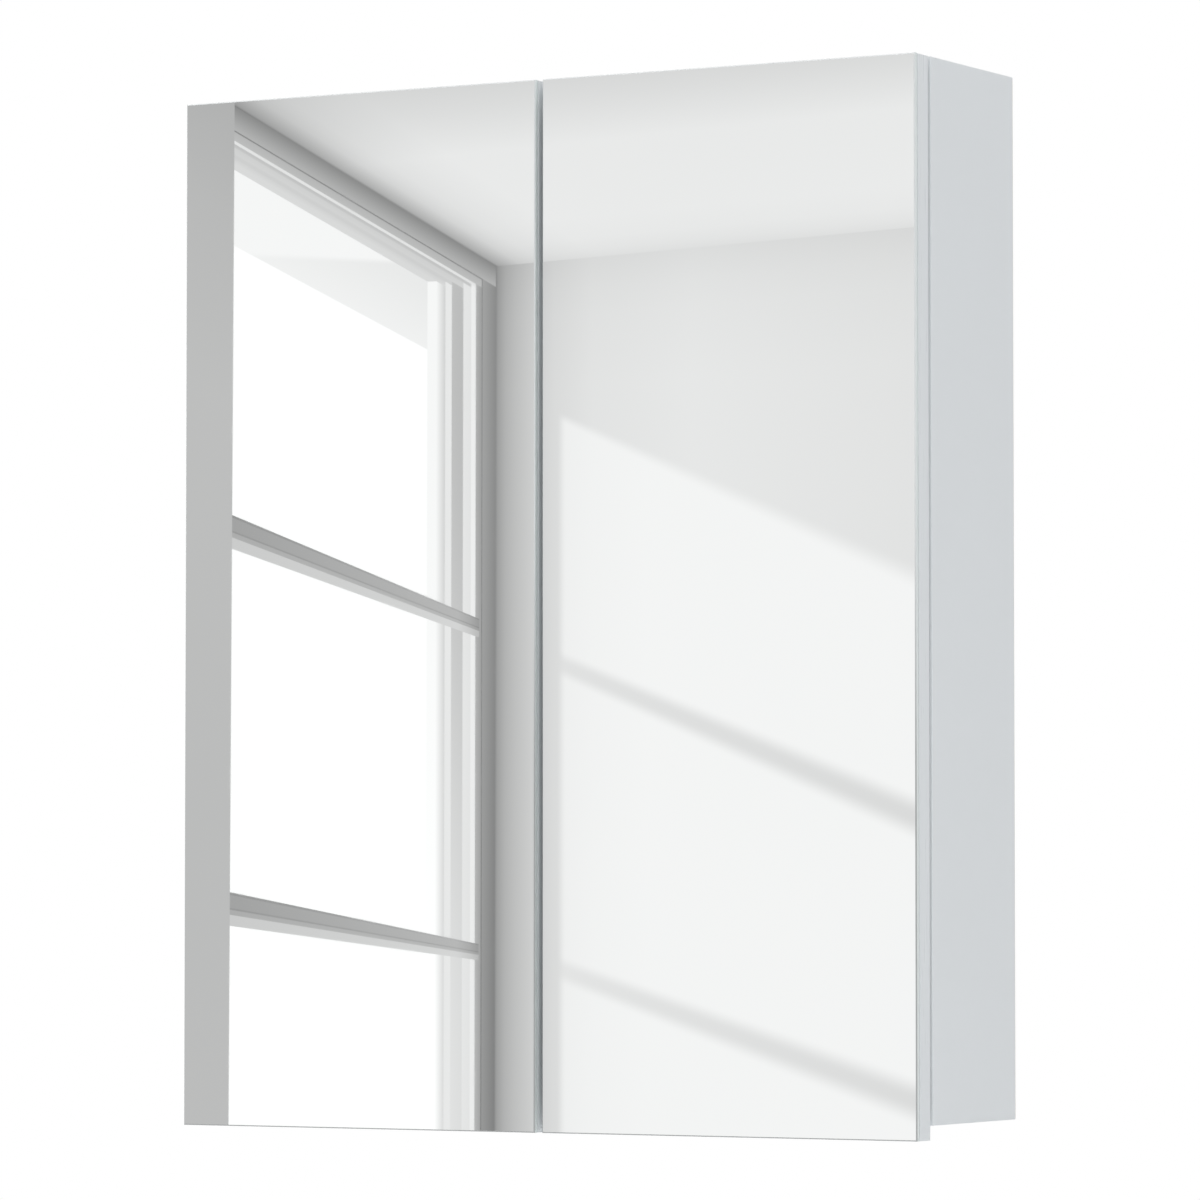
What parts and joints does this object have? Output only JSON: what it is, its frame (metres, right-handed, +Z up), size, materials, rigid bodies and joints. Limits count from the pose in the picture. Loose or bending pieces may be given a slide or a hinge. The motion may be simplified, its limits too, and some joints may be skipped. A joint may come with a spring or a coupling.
{
  "type": "hanging mirror wall cabinet",
  "caption": "Shallow hanging wall cabinet with full-height mirror doors on cup hinges, glass shelves on movable pins, and hangers that hook over wall plates.",
  "frame": {"origin": "middle of the top panel's rear edge, on the wall plane, 8 mm below the cabinet's top", "axes": "+Y into the wall, +Z up, +X to the right when facing the doors; the doors face -Y"},
  "size_m": [0.6, 0.155, 0.75],
  "materials": {
    "white_board": "particle board with white satin melamine on its faces and edges",
    "white_back": "thin fibreboard, white lacquered",
    "mirror": "silvered float glass with polished edges",
    "mirror_adhesive": "mounting adhesive film",
    "shelf_glass": "clear float glass with ground edges",
    "nickel_steel": "nickel-plated pressed steel",
    "spring_steel": "dark spring steel",
    "zinc_steel": "zinc-plated steel",
    "white_plastic": "moulded white plastic",
    "clear_rubber": "translucent soft bumper"
  },
  "bodies": {
    "carcass": {"left_side_panel": "white_board", "right_side_panel": "white_board", "top_panel": "white_board", "bottom_panel": "white_board", "back_panel": "white_back", "lower_glass_shelf": "shelf_glass", "upper_glass_shelf": "shelf_glass", "lower_shelf_pin_left_front": "zinc_steel", "lower_shelf_pin_left_rear": "zinc_steel", "lower_shelf_pin_right_front": "zinc_steel", "lower_shelf_pin_right_rear": "zinc_steel", "upper_shelf_pin_left_front": "zinc_steel", "upper_shelf_pin_left_rear": "zinc_steel", "upper_shelf_pin_right_front": "zinc_steel", "upper_shelf_pin_right_rear": "zinc_steel", "bottom_left_cam_bolt": "zinc_steel", "bottom_left_cam_lock": "zinc_steel", "bottom_right_cam_bolt": "zinc_steel", "bottom_right_cam_lock": "zinc_steel", "top_left_cam_bolt": "zinc_steel", "top_left_cam_lock": "zinc_steel", "top_right_cam_bolt": "zinc_steel", "top_right_cam_lock": "zinc_steel", "left_hanger_housing": "white_plastic", "left_lower_hinge_arm": "nickel_steel", "left_lower_hinge_plate": "nickel_steel", "left_upper_hinge_arm": "nickel_steel", "left_upper_hinge_plate": "nickel_steel", "right_hanger_housing": "white_plastic", "right_lower_hinge_arm": "nickel_steel", "right_lower_hinge_plate": "nickel_steel", "right_upper_hinge_arm": "nickel_steel", "right_upper_hinge_plate": "nickel_steel"},
    "left_door": {"left_door_board": "white_board", "left_mirror_adhesive": "mirror_adhesive", "left_mirror": "mirror", "left_lower_bumper": "clear_rubber", "left_lower_hinge_cup": "nickel_steel", "left_lower_hinge_pin": "nickel_steel", "left_lower_hinge_spring": "spring_steel", "left_upper_bumper": "clear_rubber", "left_upper_hinge_cup": "nickel_steel", "left_upper_hinge_pin": "nickel_steel", "left_upper_hinge_spring": "spring_steel"},
    "right_door": {"right_door_board": "white_board", "right_mirror_adhesive": "mirror_adhesive", "right_mirror": "mirror", "right_lower_bumper": "clear_rubber", "right_lower_hinge_cup": "nickel_steel", "right_lower_hinge_pin": "nickel_steel", "right_lower_hinge_spring": "spring_steel", "right_upper_bumper": "clear_rubber", "right_upper_hinge_cup": "nickel_steel", "right_upper_hinge_pin": "nickel_steel", "right_upper_hinge_spring": "spring_steel"},
    "left_hanger": {"left_hanger_hook": "zinc_steel", "left_wall_plate": "zinc_steel"},
    "right_hanger": {"right_hanger_hook": "zinc_steel", "right_wall_plate": "zinc_steel"}
  },
  "joints": [
    {"name": "left_door_hinge", "type": "hinge", "parent": "carcass", "child": "left_door", "pos_m": [-0.2928, -0.1413, -0.362], "axis": [0, 0, -1], "range_deg": [0, 95]},
    {"name": "right_door_hinge", "type": "hinge", "parent": "carcass", "child": "right_door", "pos_m": [0.2928, -0.1413, -0.362], "axis": [0, 0, 1], "range_deg": [0, 95]},
    {"name": "left_hanger_lift", "type": "slide", "parent": "carcass", "child": "left_hanger", "axis": [0, 0, 1], "range_m": [-0.004, 0.004]},
    {"name": "right_hanger_lift", "type": "slide", "parent": "carcass", "child": "right_hanger", "axis": [0, 0, 1], "range_m": [-0.004, 0.004]}
  ]
}
